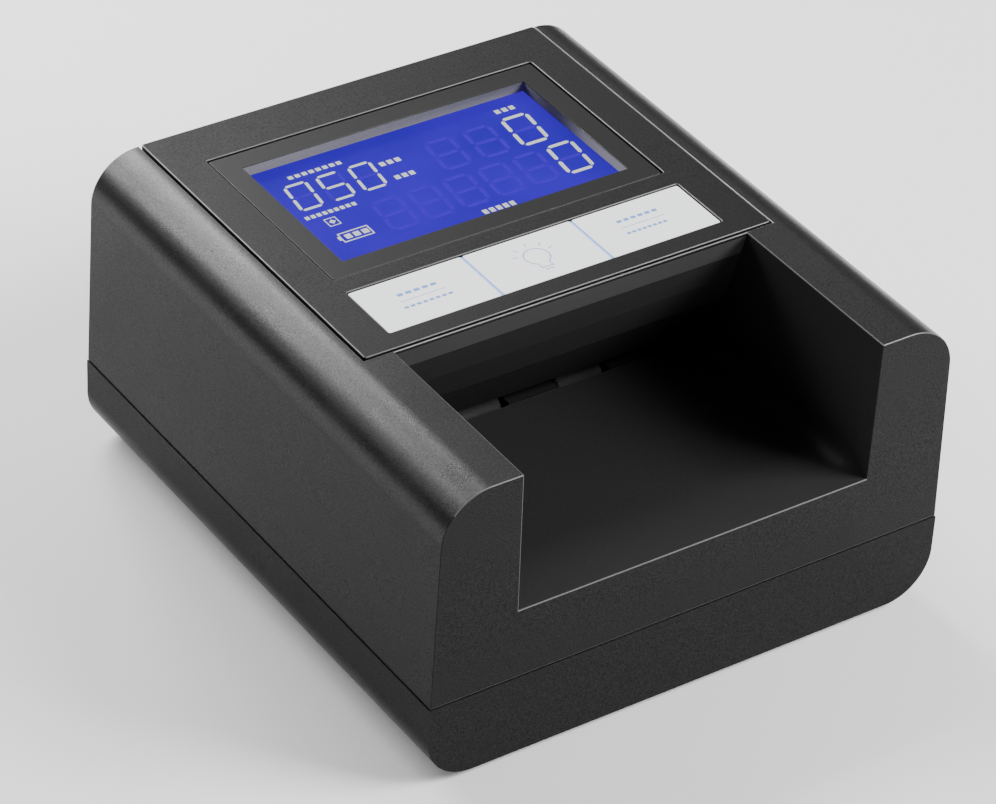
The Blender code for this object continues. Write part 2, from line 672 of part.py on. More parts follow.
def make_belt(mats):
    inner = PULLEY_RADIUS + 0.25
    belt = object_from("transport_belt", prism(belt_loop(inner + BELT_THICK), "X", *BELT_X), mats["rubber"])
    cut(belt, prism(belt_loop(inner), "X", BELT_X[0] - 1, BELT_X[1] + 1), "inside")
    return smooth(belt)


def make_encoder(mats):
    slots = 16
    points = []
    for i in range(slots):
        for share, radius in ((0, 9.5), (0.45, 9.5), (0.5, 6.5), (0.95, 6.5)):
            angle = 2 * math.pi * (i + share) / slots
            points.append((radius * math.cos(angle), radius * math.sin(angle)))
    disc_blank = prism(points, "X", 50.4, 51.2)
    wheel = object_from("encoder_wheel", disc_blank, mats["plastic"], (0, EJECT_Y, SHAFT_Z))
    bore = SHAFT_RADIUS + RUNNING_CLEARANCE
    cut(wheel, turned([(49, bore), (53, bore)]), "bore")
    bottom = SHAFT_Z - 15
    body = box((49.0, EJECT_Y - 3, bottom), (53.4, EJECT_Y + 3, bottom + 8.5))
    reader = object_from("encoder_reader", body, mats["plastic"])
    cut(reader, box((49.8, EJECT_Y - 5, bottom + 3), (51.8, EJECT_Y + 5, bottom + 12)), "slot")


# ---- power and base ----


def make_boards_and_battery(mats):
    board = object_from("main_board", box((-45, -64, 8.0), (40, -18, 9.6)), mats["board"])
    chips = (
        ((-10, -50), (8, 8, 1.6)),
        ((-32, -34), (6, 4, 2.0)),
        ((18, -30), (5, 5, 5.0)),
        ((24, -52), (9, 3, 4.0)),
    )
    for index, ((x, y), (half_x, half_y, height)) in enumerate(chips):
        chip = box((x - half_x, y - half_y, 9.0), (x + half_x, y + half_y, 9.6 + height))
        add(board, chip, f"chip_{index}")
    object_from("battery_pack", prism(rounded(-37, 4.7, 7, 21.6, 4.0, 4), "Y", 19.5, 63), mats["battery"])
    x0, y0, x1, y1 = COVER
    cover = object_from("battery_cover", box((x0, y0, FOOT_PROUD), (x1, y1, 2.7)), mats["casing"])
    add(cover, box((x0 + 2.2, y0 + 2.2, 2.0), (x1 - 2.2, y1 - 2.2, 4.1)), "plug")
    tab_x, tab_y = COVER_SCREW
    add(cover, box((tab_x - 4, tab_y - 3, FOOT_PROUD), (tab_x + 4, y0 + 2, 2.7)), "tab")
    cut(cover, disc(COVER_SCREW, 1.4, 0, 5, 12), "tab_hole")
    cut(cover, disc(COVER_SCREW, 2.4, 0, 2.1, 12), "tab_well")


def make_screw(name, centre, head_low, head_radius, head_high, shank_radius, top, mats):
    """A pan-head screw with a cross recess, head down."""
    head = disc((0, 0), head_radius, head_low, head_high, 16)
    screw = object_from(name, head, mats["steel"], (*centre, 0))
    add(screw, disc((0, 0), shank_radius, head_high - 0.3, top, 12), "shank")
    depth = head_low + 0.6 * (head_high - head_low)
    arm, blade = 0.62 * head_radius, 0.16 * head_radius
    quarter = [(arm, -blade), (arm, blade), (blade, blade)]
    cross = [Matrix.Rotation(math.pi / 2 * turn, 2) @ Vector(point) for turn in range(4) for point in quarter]
    cut(screw, prism(cross, "Z", head_low - 1, depth), "cross")


def make_base(mats):
    for place, centre in SCREW_PLACES.items():
        make_screw(f"case_screw_{place}", centre, 6.4, 2.9, 8.7, 1.4, 34, mats)
    make_screw("battery_cover_screw", COVER_SCREW, 1.1 + FOOT_PROUD - 1.0, 2.1, 1.8, 1.0, 8.5, mats)
    for end_name, end in (("front", -1), ("rear", 1)):
        for side_name, side in (("left", -1), ("right", 1)):
            rings = []
            for z, radius in ((0.0, FOOT_RADIUS - 0.5), (0.5, FOOT_RADIUS), (1.8, FOOT_RADIUS)):
                rings.append([(x, y, z) for x, y in circle((0, 0), radius)])
            foot = object_from(f"foot_{end_name}_{side_name}", stack(rings), mats["rubber"],
                               (side * FOOT_X, end * FOOT_Y, 0))
            smooth(foot)


def make_power_switch(mats):
    low_x, high_x = SWITCH_X
    low_z, high_z = SWITCH_Z
    housing = object_from("power_switch_housing", box((low_x, 68.5, low_z), (high_x, 69.6, high_z)),
                          mats["plastic"])
    add(housing, box((low_x + 1.7, 57, low_z + 1.4), (high_x - 1.7, 69, high_z - 1.4)), "body")
    cut(housing, box((low_x + 2.9, 62, low_z + 2.2), (high_x - 2.9, 72, high_z - 2.2)), "well")
    outline = [(3.0, -2.5), (2.3, 0), (3.0, 2.5), (1.0, 2.6), (-1.6, 1.4), (-1.6, -1.4), (1.0, -2.6)]
    turn = Matrix.Rotation(ROCKER_TILT, 2)
    tilted = [tuple(turn @ Vector(point)) for point in outline]
    half = (high_x - low_x) / 2 - 3.2
    centre = ((low_x + high_x) / 2, *ROCKER_PIVOT)
    object_from("power_switch_rocker", prism(tilted, "X", -half, half), mats["plastic"], centre)


def make_inlet(mats):
    low_x, high_x = INLET_X
    low_z, high_z = INLET_Z
    centre = ((low_x + high_x) / 2, 0, (low_z + high_z) / 2)
    inlet = object_from("dc_inlet", box((low_x, 57, low_z), (high_x, 69.5, high_z)), mats["plastic"])
    for label, radius, operation in (("socket", 2.8, cut), ("pin", 0.9, add)):
        outline = [(centre[0] + x, centre[2] + z) for x, z in circle((0, 0), radius, 20)]
        far = 75 if label == "socket" else 68.6
        operation(inlet, prism(outline, "Y", 60 if label == "socket" else 59, far), label)


def main():
    clear_scene()
    mats = make_materials()
    deck = make_deck()
    make_upper_shell(mats, deck)
    make_lower_shell(mats)
    make_panel(mats, deck)
    make_display(mats, deck)
    make_keys(mats, deck)
    make_guides(mats)
    make_bearing_plates(mats)
    for end, y in (("feed", FEED_Y), ("eject", EJECT_Y)):
        make_roller_set(mats, end, y)
        make_idler_set(mats, end, y)
    make_gears(mats)
    make_belt(mats)
    make_encoder(mats)
    make_boards_and_battery(mats)
    make_base(mats)
    make_power_switch(mats)
    make_inlet(mats)


main()
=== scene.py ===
import json
import math

import bmesh
import bpy
from mathutils import Matrix, Vector


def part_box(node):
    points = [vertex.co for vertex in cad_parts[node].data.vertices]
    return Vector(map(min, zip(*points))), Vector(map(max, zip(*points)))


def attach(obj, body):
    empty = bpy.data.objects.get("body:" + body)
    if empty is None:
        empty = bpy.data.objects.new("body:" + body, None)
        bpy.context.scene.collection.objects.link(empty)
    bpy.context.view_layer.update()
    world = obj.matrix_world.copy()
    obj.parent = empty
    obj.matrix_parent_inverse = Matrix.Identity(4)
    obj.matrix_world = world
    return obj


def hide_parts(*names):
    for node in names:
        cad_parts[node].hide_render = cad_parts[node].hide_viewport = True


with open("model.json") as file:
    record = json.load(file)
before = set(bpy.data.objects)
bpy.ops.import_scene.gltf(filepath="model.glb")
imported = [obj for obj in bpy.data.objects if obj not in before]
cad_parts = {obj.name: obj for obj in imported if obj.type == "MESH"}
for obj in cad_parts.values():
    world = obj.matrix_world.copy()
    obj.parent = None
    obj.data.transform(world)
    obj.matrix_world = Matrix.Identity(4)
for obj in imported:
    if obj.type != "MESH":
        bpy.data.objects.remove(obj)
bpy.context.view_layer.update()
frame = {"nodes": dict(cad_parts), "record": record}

# Sizes are in millimetres, and every mesh is made in metres, in the frame's own axes.
MM = 0.001
ROOT = "casing"


def node_box(name):
    """A CAD node's lowest and highest corners, in millimetres."""
    low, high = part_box(name)
    return Vector(low) / MM, Vector(high) / MM


UPPER_LOW, UPPER_HIGH = node_box("upper_shell")
LOWER_LOW, LOWER_HIGH = node_box("lower_shell")
UPPER_HALF = UPPER_HIGH.x
LOWER_HALF = LOWER_HIGH.x
FRONT, BACK = UPPER_LOW.y, UPPER_HIGH.y
SEAM_GAP = 0.3
SEAM = UPPER_LOW.z - SEAM_GAP
FOOT_PROUD = LOWER_LOW.z
DECK_SLOPE = 0.006
FACE_DRAFT = 0.007
SIDE_DRAFT = 0.024
TOP = 72.1
CORNER_RADIUS = 11.45
LOWER_RADIUS = 11.1
CORNER_STEPS = 24
UPPER_WALL = 2.2
TOP_WALL = 3.4
LOWER_WALL = 2.9
BASE_WALL = 2.6
GAP = 0.3

RECESS_HALF_TOP = 44.06
RECESS_HALF_FLOOR = 43.6
RECESS_WALL = 46.1
NOTE_FLOOR = 38.35
FLOOR_BACK = -10.2
RECESS_BACK = -22.1
RECESS_DRAFT = (RECESS_HALF_TOP - RECESS_HALF_FLOOR) / (TOP - NOTE_FLOOR)
SLOT_TOP = 51.3
SLOT_FRONT = -12.6
BROW_LOW = 67.0
FILLET = 4.0
FILLET_START = 0.3
EXIT_Z = (38.6, 44.6)
EDGE = 0.2

PANEL_FRONT = -21.4
PANEL_HALF = 50.65
PANEL_LENGTH = 90.5
PANEL_RAISE = 0.4
PANEL_BODY_HALF = 44.0
POCKET_GAP = 0.45
WINDOW_HALF = 36.1
WINDOW_FRONT = 31.9
WINDOW_BACK = 72.5
LENS_HALF = 41.76
LENS_FRONT = 26.5
LENS_BACK = 78.2
LENS_TOP = 0.1
LENS_THICK = 1.1
LENS_GAP = 0.42
KEY_FRONT = 5.25
KEY_BACK = 21.3
KEY_OUTER = 41.46
KEY_SPLIT = 13.75
KEY_TOP = 0.1
KEY_THICK = 1.7
KEY_GAP = 0.25
LCD_TOP = -2.7
# Heights well below and well above the deck, for a cut that goes right through.
UNDER, OVER = -9, 3

SCREW_PLACES = ((-50.5, -60.0), (50.5, -60.0), (-50.5, 61.9), (50.5, 61.9))
FOOT_PLACES = ((-44.0, -48.0), (44.0, -48.0), (-44.0, 48.0), (44.0, 48.0))
COVER = (-36.7, 17.3, 6.7, 62.7)
COVER_SCREW = (-15.0, 14.4)
RIB_PLACES = ((-47.05, -7), (-47.05, 46), (47.05, 46))
POST_PLACES = ((-42, -60), (36, -60), (-42, -22), (36, -22))
SCREW_HOLE = 1.7
UPPER_BOSS, LOWER_BOSS = 3.6, 4.6
HEAD_RADIUS, HEAD_TOP = 3.3, 9.0
FOOT_RADIUS, FOOT_TOP = 5.8, 2.1
POST_RADIUS, POST_TOP = 2.2, 7.7
COVER_BOSS, COVER_BOSS_TOP = 3.2, 9.5
RIB_TOP = 23.0
REAR = 75
TONGUE_GAP = 0.35
TONGUE_WALL = 1.3
SWITCH_X, SWITCH_Z = (14.0, 29.0), (5.4, 16.6)
INLET_X, INLET_Z = (35.5, 44.5), (6.5, 15.5)
ROCKER_PIVOT = (66.0, 11.0)
ROCKER_TILT = math.radians(-12)


# ---- camera, light and floor ----

CAMERA_AZIMUTH = math.radians(-35.356)
CAMERA_ELEVATION = math.radians(35.71)
CAMERA_ROLL = math.radians(3.22)
CAMERA_TARGET = Vector((-10.24, -11.45, 41.16)) * MM
CAMERA_DISTANCE = 914.3 * MM
CAMERA_LENS = 156.74


def make_camera():
    """Looks down from the front left, with a slight roll."""
    level = math.cos(CAMERA_ELEVATION)
    back = Vector((math.sin(CAMERA_AZIMUTH) * level, -math.cos(CAMERA_AZIMUTH) * level,
                   math.sin(CAMERA_ELEVATION)))
    right = Vector((0, 0, 1)).cross(back).normalized()
    up = back.cross(right)
    turn = Matrix((right, up, back)).transposed().to_4x4() @ Matrix.Rotation(CAMERA_ROLL, 4, "Z")
    data = bpy.data.cameras.new("camera")
    data.lens = CAMERA_LENS
    data.sensor_width = 36.0
    data.clip_start, data.clip_end = 0.05, 20.0
    camera = bpy.data.objects.new("camera", data)
    bpy.context.scene.collection.objects.link(camera)
    camera.matrix_world = Matrix.Translation(CAMERA_TARGET + back * CAMERA_DISTANCE) @ turn
    bpy.context.scene.camera = camera


# Name, place and size in metres, and power in watts.
LIGHTS = (
    ("softbox_front", (0.55, -0.55, 0.595), (0.45, 0.45), 17),
    ("softbox_rear", (0.0, 0.778, 0.595), (0.45, 0.45), 10.3),
    ("softbox_small", (0.15, 0.6, 0.55), (0.3, 0.3), 1.2),
    ("softbox_right", (0.5, 0.6, 0.55), (0.3, 0.3), 0.2),
    ("strip_near", (-0.22, 0.38, 0.33), (0.12, 0.3), 1.3),
    ("strip_side", (-0.6, 0.55, 0.45), (0.15, 0.3), 0.4),
    ("strip_far", (-0.45, 0.6, 0.6), (0.15, 0.3), 0.9),
)
LIGHT_AIM = Vector((0, 0, 0.05))
DOME_STRENGTH = 0.12
FLOOR_HALF = 3.0
FLOOR_GLOW = 0.1


def area_light(name, place, size, power):
    data = bpy.data.lights.new(name, "AREA")
    data.shape = "RECTANGLE"
    data.size, data.size_y = size
    data.energy = power
    light = bpy.data.objects.new(name, data)
    bpy.context.scene.collection.objects.link(light)
    light.location = place
    light.rotation_mode = "QUATERNION"
    light.rotation_quaternion = (LIGHT_AIM - Vector(place)).to_track_quat("-Z", "Y")


def make_lights():
    """A weak dome, a soft box at the front right, three behind, and three strips for the left shoulder."""
    world = bpy.data.worlds.new("studio")
    bpy.context.scene.world = world
    world.use_nodes = True
    background = world.node_tree.nodes["Background"]
    background.inputs["Color"].default_value = (1.0, 1.0, 1.0, 1.0)
    background.inputs["Strength"].default_value = DOME_STRENGTH
    for light in LIGHTS:
        area_light(*light)


def make_floor():
    mesh = bpy.data.meshes.new("floor")
    corners = [(x, y, 0) for x, y in rectangle(-FLOOR_HALF, -FLOOR_HALF, FLOOR_HALF, FLOOR_HALF)]
    mesh.from_pydata(corners, [], [(0, 1, 2, 3)])
    floor = bpy.data.objects.new("floor", mesh)
    bpy.context.scene.collection.objects.link(floor)
    mesh.materials.append(shaded("floor", grey(0.9), 0.9, emission=grey(1), glow=FLOOR_GLOW))


# ---- materials ----

BLOTCH_WAVES = 60.0
SPECK_WAVES = 3200
SPECK_RANGE = (0.38, 0.62)
LCD_WAVES = 45
CLEAR_ALPHA = 0.012


def grey(level):
    return (level, level, level)


def shaded(name, colour, roughness, metallic=0.0, emission=None, glow=1.0, specular=0.5):
    mat = bpy.data.materials.new(name)
    mat.use_nodes = True
    shader = mat.node_tree.nodes["Principled BSDF"]
    shader.inputs["Base Color"].default_value = (*colour, 1.0)
    shader.inputs["Roughness"].default_value = roughness
    shader.inputs["Metallic"].default_value = metallic
    shader.inputs["Specular IOR Level"].default_value = specular
    if emission:
        shader.inputs["Emission Color"].default_value = (*emission, 1.0)
        shader.inputs["Emission Strength"].default_value = glow
    return mat


def noise(tree, scale, detail):
    """Noise over the object's own coordinates; scale is in waves per metre."""
    place = tree.nodes.get("Texture Coordinate") or tree.nodes.new("ShaderNodeTexCoord")
    node = tree.nodes.new("ShaderNodeTexNoise")
    node.inputs["Scale"].default_value = scale
    node.inputs["Detail"].default_value = detail
    tree.links.new(place.outputs["Object"], node.inputs["Vector"])
    return node


def ramp(tree, source, low, high, at=(0.35, 0.65)):
    """Maps a value's range, given by at, to one from low to high."""
    node = tree.nodes.new("ShaderNodeMapRange")
    node.inputs["From Min"].default_value, node.inputs["From Max"].default_value = at
    node.inputs["To Min"].default_value, node.inputs["To Max"].default_value = low, high
    tree.links.new(source, node.inputs["Value"])
    return node.outputs["Result"]


def mixed(tree, share, first, second):
    node = tree.nodes.new("ShaderNodeMix")
    node.data_type = "RGBA"
    node.inputs["A"].default_value = (*first, 1.0)
    node.inputs["B"].default_value = (*second, 1.0)
    tree.links.new(share, node.inputs["Factor"])
    return node.outputs["Result"]


def product(tree, first, second):
    node = tree.nodes.new("ShaderNodeMath")
    node.operation = "MULTIPLY"
    for socket, value in zip(node.inputs, (first, second)):
        if isinstance(value, float):
            socket.default_value = value
        else:
            tree.links.new(value, socket)
    return node.outputs["Value"]


def painted_upright_shade(tree, upright, level):
    """One value on upright faces and another on those that face up, with a smooth change between; it paints
    shade on upright faces by taking away some of their gloss.
    """
    split = tree.nodes.new("ShaderNodeSeparateXYZ")
    tree.links.new(tree.nodes.new("ShaderNodeNewGeometry").outputs["Normal"], split.inputs["Vector"])
    return ramp(tree, split.outputs["Z"], upright, level, (0.05, 0.4))


def textured(mat, grain, depth, colours, roughness, sparkle=0.0, upright=1.0):
    """Adds moulded grain to a material: bump, slight changes of tone and roughness, and speckled gloss.

    The grain is in waves per metre and its depth in millimetres. Sparkle is the share by which the
    gloss varies from speck to speck, and upright is how much of the gloss upright faces keep, which paints
    shade on the sides and fronts.
    """
    tree = mat.node_tree
    shader = tree.nodes["Principled BSDF"]
    fine = noise(tree, grain, 3.0)
    slow = noise(tree, BLOTCH_WAVES, 3.0)
    bump = tree.nodes.new("ShaderNodeBump")
    bump.inputs["Strength"].default_value = 1.0
    bump.inputs["Distance"].default_value = depth * MM
    tree.links.new(fine.outputs["Fac"], bump.inputs["Height"])
    tree.links.new(bump.outputs["Normal"], shader.inputs["Normal"])
    tone = mixed(tree, ramp(tree, fine.outputs["Fac"], 0, 1), *colours)
    tree.links.new(tone, shader.inputs["Base Color"])
    tree.links.new(ramp(tree, slow.outputs["Fac"], *roughness), shader.inputs["Roughness"])
    if sparkle:
        level = shader.inputs["Specular IOR Level"].default_value
        specks = noise(tree, SPECK_WAVES, 1.0).outputs["Fac"]
        speck = ramp(tree, specks, 1 - sparkle, 1 + sparkle, SPECK_RANGE)
        # Less gloss on upright faces: painted shade on the sides and fronts.
        shaded_gloss = product(tree, speck, product(tree, level, painted_upright_shade(tree, upright, 1.0)))
        tree.links.new(shaded_gloss, shader.inputs["Specular IOR Level"])
    return mat


# Colour pair, roughness range, grain in waves per metre, relief in millimetres, and specular level.
FINISHES = {
    "casing": (grey(0.006), grey(0.020), (0.26, 0.32), 3400, 0.017, 0.27),
    "tray": (grey(0.009), grey(0.023), (0.26, 0.32), 3400, 0.017, 0.14),
    # The next two edge finishes are lighter than their bodies: painted highlights along the rounded edges.
    "rim": (grey(0.05), grey(0.08), (0.28, 0.34), 4000, 0.002, 0.6),
    "casing_rim": (grey(0.09), grey(0.12), (0.28, 0.34), 4000, 0.002, 0.6),
    # Duller and far less glossy than the casing, its tone set to the light in the recess: painted shade
    # inside the note recess.
    "inner": (grey(0.018), grey(0.023), (0.42, 0.48), 2500, 0.003, 0.06),
    # Much lighter than the casing: painted light where the front light falls on the lip above the slot.
    "brow": (grey(0.040), grey(0.055), (0.5, 0.56), 4200, 0.010, 0.4),
    "panel": (grey(0.003), grey(0.010), (0.44, 0.5), 4000, 0.014, 0.21),
    "border": (grey(0.009), grey(0.012), (0.36, 0.40), 5000, 0.004, 0.20),
    "frame": (grey(0.15), grey(0.185), (0.55, 0.65), 3000, 0.006, 0.5),
    "key": ((0.88, 0.90, 0.90), (0.94, 0.96, 0.96), (0.4, 0.5), 4500, 0.003, 0.5),
    "legend": ((0.10, 0.24, 0.62), (0.16, 0.30, 0.68), (0.4, 0.5), 5000, 0.002, 0.5),
    "board": ((0.012, 0.10, 0.04), (0.03, 0.15, 0.06), (0.35, 0.5), 900, 0.02, 0.5),
    "guide": (grey(0.010), grey(0.014), (0.42, 0.48), 2500, 0.003, 0.22),
    "rubber": (grey(0.008), grey(0.016), (0.7, 0.85), 2500, 0.02, 0.3),
    "acetal": ((0.70, 0.70, 0.66), (0.80, 0.80, 0.75), (0.4, 0.5), 2500, 0.006, 0.5),
    "sensor": ((0.03, 0.005, 0.01), (0.05, 0.008, 0.015), (0.08, 0.15), 1500, 0.001, 0.5),
    "battery": ((0.03, 0.10, 0.32), (0.05, 0.14, 0.38), (0.3, 0.45), 800, 0.02, 0.5),
    "plastic": (grey(0.006), grey(0.010), (0.35, 0.45), 3000, 0.006, 0.3),
}
# How much of the gloss upright faces keep, which paints shade on the sides and fronts, and how much it varies
# from speck to speck.
UPRIGHT_SHADE_AND_SPECKS = {"casing": (0.28, 0.28), "tray": (0.28, 0.28), "panel": (1.0, 0.28)}


def make_materials():
    """One procedural material for each finish, by name."""
    mats = {}
    for name, (dark, bright, roughness, grain, depth, specular) in FINISHES.items():
        upright, sparkle = UPRIGHT_SHADE_AND_SPECKS.get(name, (1.0, 0.0))
        mats[name] = textured(shaded(name, dark, roughness[0], specular=specular), grain, depth,
                              (dark, bright), roughness, sparkle, upright)
    mats["steel"] = textured(
        shaded("steel", grey(0.5), 0.3, 1.0),
        2500, 0.002, ((0.5, 0.5, 0.51), (0.6, 0.6, 0.6)), (0.25, 0.4))
    mats["light"] = textured(
        shaded("light", (0.35, 0.55, 0.95), 0.4, emission=(0.05, 0.2, 0.9), glow=0.5),
        2000, 0.002, ((0.2, 0.4, 0.9), (0.3, 0.5, 1.0)), (0.3, 0.5))
    mats["segment"] = textured(
        shaded("segment", (0.22, 0.23, 0.21), 0.5, emission=(0.43, 0.46, 0.43)),
        2000, 0.001, ((0.20, 0.21, 0.19), (0.24, 0.25, 0.23)), (0.45, 0.55))
    mats["ghost"] = textured(
        shaded("ghost", (0.0, 0.0, 0.2), 0.5, emission=(0.054, 0.0, 0.46), specular=0.03),
        2000, 0.001, ((0.0, 0.0, 0.1), (0.01, 0.0, 0.2)), (0.45, 0.55))
    mats["lcd"] = make_lcd_material()
    mats["lens"] = mats["border"]
    mats["clear"] = make_clear_material()
    return mats


def make_lcd_material():
    """A back-lit blue field with a slow change of tone across it."""
    mat = shaded("display_blue", (0.0, 0.0, 0.05), 0.4, emission=(0.05, 0.0, 0.7), specular=0.03)
    tree = mat.node_tree
    shader = tree.nodes["Principled BSDF"]
    slow = ramp(tree, noise(tree, LCD_WAVES, 1.0).outputs["Fac"], 0, 1)
    tone = mixed(tree, slow, (0.035, 0.0, 0.48), (0.048, 0.0, 0.58))
    tree.links.new(tone, shader.inputs["Emission Color"])
    return mat


def make_clear_material():
    """Clear acrylic: a faint gloss over what lies beneath it."""
    mat = textured(shaded("clear", grey(0.02), 0.15, specular=0.15), 3000, 0.0002,
                   (grey(0.01), grey(0.02)), (0.12, 0.2))
    mat.node_tree.nodes["Principled BSDF"].inputs["Alpha"].default_value = CLEAR_ALPHA
    return mat


# ---- outlines, as lists of 2-D points ----


def arc(centre, radius, start, end, steps):
    angles = [math.radians(start + (end - start) * i / steps) for i in range(steps + 1)]
    return [(centre[0] + radius * math.cos(a), centre[1] + radius * math.sin(a)) for a in angles]


def rectangle(low_x, low_y, high_x, high_y):
    return [(low_x, low_y), (high_x, low_y), (high_x, high_y), (low_x, high_y)]


def rounded(low_x, low_y, high_x, high_y, radius, steps=6):
    right, left = high_x - radius, low_x + radius
    back, front = high_y - radius, low_y + radius
    return (
        arc((right, back), radius, 0, 90, steps)
        + arc((left, back), radius, 90, 180, steps)
        + arc((left, front), radius, 180, 270, steps)
        + arc((right, front), radius, 270, 360, steps)
    )


def circle(centre, radius, steps=48):
    return arc(centre, radius, 0, 360 - 360 / steps, steps - 1)


def upper_arch(inset, top_inset, bottom):
    """The upper casing seen from the front: drafted sides and rounded shoulders."""
    radius = CORNER_RADIUS - inset
    centre_x = UPPER_HALF - CORNER_RADIUS - SIDE_DRAFT * (TOP - CORNER_RADIUS - SEAM)
    centre_z = TOP - top_inset - radius
    foot = UPPER_HALF - inset - SIDE_DRAFT * (bottom - SEAM)
    right = [(foot, bottom)] + arc((centre_x, centre_z), radius, -1.4, 90, CORNER_STEPS)
    return right + [(-x, z) for x, z in reversed(right)]


def lower_trough(inset, bottom_inset, top):
    """The tray seen from the front: upright sides and rounded lower corners."""
    radius = LOWER_RADIUS - inset
    centre_x = LOWER_HALF - LOWER_RADIUS
    centre_z = FOOT_PROUD + bottom_inset + radius
    right = arc((centre_x, centre_z), radius, -90, 0, CORNER_STEPS) + [(LOWER_HALF - inset, top)]
    return right + [(-x, z) for x, z in reversed(right)]


# ---- mesh tools ----


def linked(name, bm, mat=None):
    """Makes an object, in metres, of a bmesh in millimetres."""
    bmesh.ops.recalc_face_normals(bm, faces=bm.faces)
    bmesh.ops.scale(bm, vec=(MM, MM, MM), verts=bm.verts)
    mesh = bpy.data.meshes.new(name)
    bm.to_mesh(mesh)
    bm.free()
    if mat:
        mesh.materials.append(mat)
    obj = bpy.data.objects.new(name, mesh)
    bpy.context.scene.collection.objects.link(obj)
    return obj


def stack(rings):
    """A closed form through rings of the same number of points."""
    bm = bmesh.new()
    layers = [[bm.verts.new(point) for point in ring] for ring in rings]
    for lower, upper in zip(layers, layers[1:]):
        for i in range(len(lower)):
            j = (i + 1) % len(lower)
            bm.faces.new((lower[i], lower[j], upper[j], upper[i]))
    bm.faces.new(layers[0])
    bm.faces.new(layers[-1])
    return bm


def prism(outline, axis, low, high):
    """An outline drawn out along the X or the Z axis."""
    place = {
        "X": lambda point, along: (along, *point),
        "Z": lambda point, along: (*point, along),
    }[axis]
    return stack([[place(point, along) for point in outline] for along in (low, high)])


def block(low, high):
    return prism(rectangle(low[0], low[1], high[0], high[1]), "Z", low[2], high[2])


def disc(centre, radius, low, high, steps=48):
    return prism(circle(centre, radius, steps), "Z", low, high)


def casing_block(outline, front, back, draft):
    """An outline drawn out from front to back, with leaning ends and the deck's slope above the seam."""
    rings = []
    for end, lean in ((front, draft), (back, -draft)):
        rise = DECK_SLOPE * (end - FRONT) / (TOP - SEAM)
        rings.append([(x, end + lean * (z - SEAM), z + rise * max(0.0, z - SEAM)) for x, z in outline])
    return stack(rings)


def deck_matrix():
    """The deck's frame: its origin is at the middle of the panel's front edge, its Z square to the panel."""
    height = TOP + DECK_SLOPE * (PANEL_FRONT - FRONT)
    place = Matrix.Translation(Vector((0, PANEL_FRONT, height)) * MM)
    return place @ Matrix.Rotation(math.atan(DECK_SLOPE), 4, "X")


def on_deck(obj):
    """Moves a mesh made in the deck's frame to its place on the sloping top."""
    obj.data.transform(deck_matrix())
    return obj


def applied(obj):
    """Replaces an object's mesh by what its modifiers make of it."""
    bpy.context.view_layer.update()
    graph = bpy.context.evaluated_depsgraph_get()
    mesh = bpy.data.meshes.new_from_object(obj.evaluated_get(graph))
    old = obj.data
    obj.modifiers.clear()
    obj.data = mesh
    bpy.data.meshes.remove(old)
    mesh.name = obj.name


def joined(bm):
    return "UNION", bm, False


def cut(bm, deck=False):
    """A step that takes a shape away; deck says that it is given in the deck's frame."""
    return "DIFFERENCE", bm, deck


def carve(obj, steps):
    """Runs the Boolean steps of joined() and cut(), one after another."""
    helpers = []
    for index, (operation, bm, deck) in enumerate(steps):
        helper = linked(f"{obj.name}_helper_{index}", bm)
        if deck:
            on_deck(helper)
        modifier = obj.modifiers.new(f"step_{index}", "BOOLEAN")
        modifier.operation = operation
        modifier.solver = "EXACT"
        modifier.object = helper
        helpers.append(helper)
    applied(obj)
    for helper in helpers:
        mesh = helper.data
        bpy.data.objects.remove(helper)
        bpy.data.meshes.remove(mesh)


def cleaned(obj):
    """Joins coplanar faces and near points that the Booleans left."""
    bm = bmesh.new()
    bm.from_mesh(obj.data)
    bmesh.ops.remove_doubles(bm, verts=bm.verts, dist=0.002 * MM)
    bmesh.ops.dissolve_limit(bm, angle_limit=math.radians(0.2), verts=bm.verts, edges=bm.edges)
    bm.to_mesh(obj.data)
    bm.free()
    return obj


SHARP_ANGLE = math.radians(30)
SHORTEST_ROUNDED = 0.06 * MM
LARGE_FACE = 100 * MM * MM


def edged(obj, width, segments, rim=None, clamp=True):
    """Rounds the outward edges, in a lighter finish that paints a highlight along them if one is given, and
    keeps the inward ones sharp.

    Large faces in a second finish are shaded flat.
    """
    bm = bmesh.new()
    bm.from_mesh(obj.data)
    weight = bm.edges.layers.float.new("bevel_weight_edge")
    for edge in bm.edges:
        if len(edge.link_faces) == 2 and edge.calc_face_angle(0) > SHARP_ANGLE:
            edge[weight] = 1.0 if edge.is_convex and edge.calc_length() > SHORTEST_ROUNDED else 0.0
            edge.smooth = edge[weight] > 0.5
    for face in bm.faces:
        face.smooth = face.material_index == 0 or face.calc_area() < LARGE_FACE
    bm.to_mesh(obj.data)
    bm.free()
    bevel = obj.modifiers.new("edge", "BEVEL")
    bevel.width = width * MM
    bevel.segments = segments
    bevel.limit_method = "WEIGHT"
    bevel.use_clamp_overlap = clamp
    if rim:
        obj.data.materials.append(rim)
        bevel.material = len(obj.data.materials) - 1
    normals = obj.modifiers.new("normals", "WEIGHTED_NORMAL")
    normals.keep_sharp = True
    return obj


def unrimmed(obj, keep):
    """Takes the painted highlight off the rounded edges, giving them their body's finish again, wherever
    keep(x, y, z) is false.
    """
    applied(obj)
    rim = len(obj.data.materials) - 1
    for face in obj.data.polygons:
        if face.material_index == rim and not keep(*(face.center / MM)):
            face.material_index = 0


def piece(obj, body, slot, *nodes):
    """Gives an object its body and says which CAD nodes it stands for, by hiding them; its slot is not used.
    """
    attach(obj, body)
    if nodes:
        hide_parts(*nodes)


# ---- casing ----


